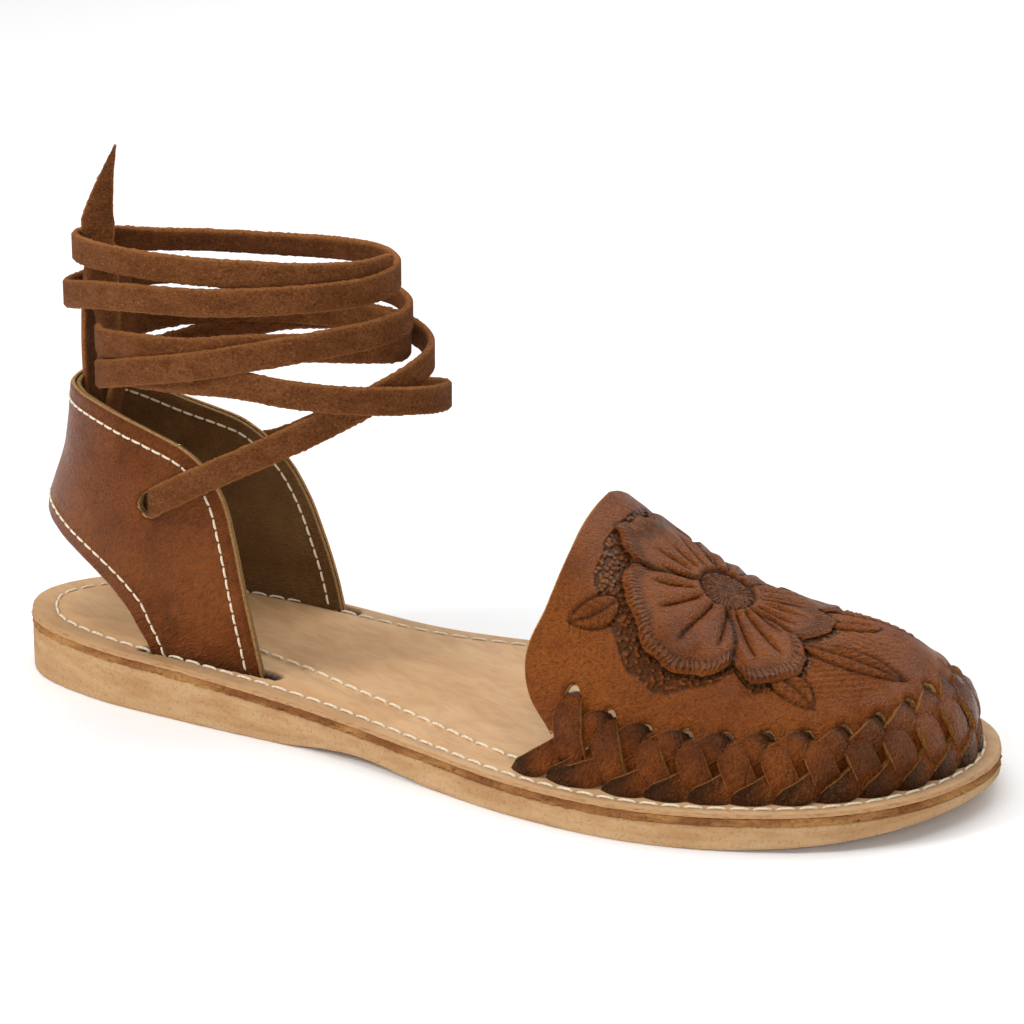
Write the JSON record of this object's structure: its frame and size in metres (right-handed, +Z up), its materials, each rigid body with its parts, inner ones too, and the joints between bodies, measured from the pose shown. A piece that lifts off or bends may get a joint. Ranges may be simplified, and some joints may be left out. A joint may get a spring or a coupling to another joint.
{
  "type": "huarache sandal",
  "caption": "Right huarache sandal with a tooled vamp laced to the insole by a toe braid, an open heel counter and a suede lace wound round the ankle.",
  "frame": {"origin": "middle of the footprint, on the ground that the outsole stands on", "axes": "+X from the heel to the toe, +Y to the medial (inner) side, +Z up"},
  "size_m": [0.2562, 0.1008, 0.1362],
  "materials": {
    "outsole_crepe": "tan crepe rubber, sanded side",
    "crepe": "tan crepe rubber wedge, sanded side",
    "split_leather": "dark brown split leather with a raw fibrous edge",
    "pale_leather": "pale vegetable tanned leather, smooth, with a burnished edge and cream stitching",
    "tooled_leather": "warm brown waxed leather, hand carved and stamped",
    "strap_leather": "dark brown polished strap leather with pale cut edges",
    "counter_leather": "warm brown waxed leather lined with grey-brown leather",
    "suede": "brown suede with fuzzy cut edges"
  },
  "bodies": {
    "root": {"outsole": "outsole_crepe", "midsole": "crepe", "leather_layer": "split_leather", "insole": "pale_leather", "vamp": "tooled_leather", "toe_braid": "strap_leather", "heel_counter": "counter_leather", "heel_loop": "suede", "ankle_lace": "suede", "lace_end": "suede"}
  },
  "joints": []
}
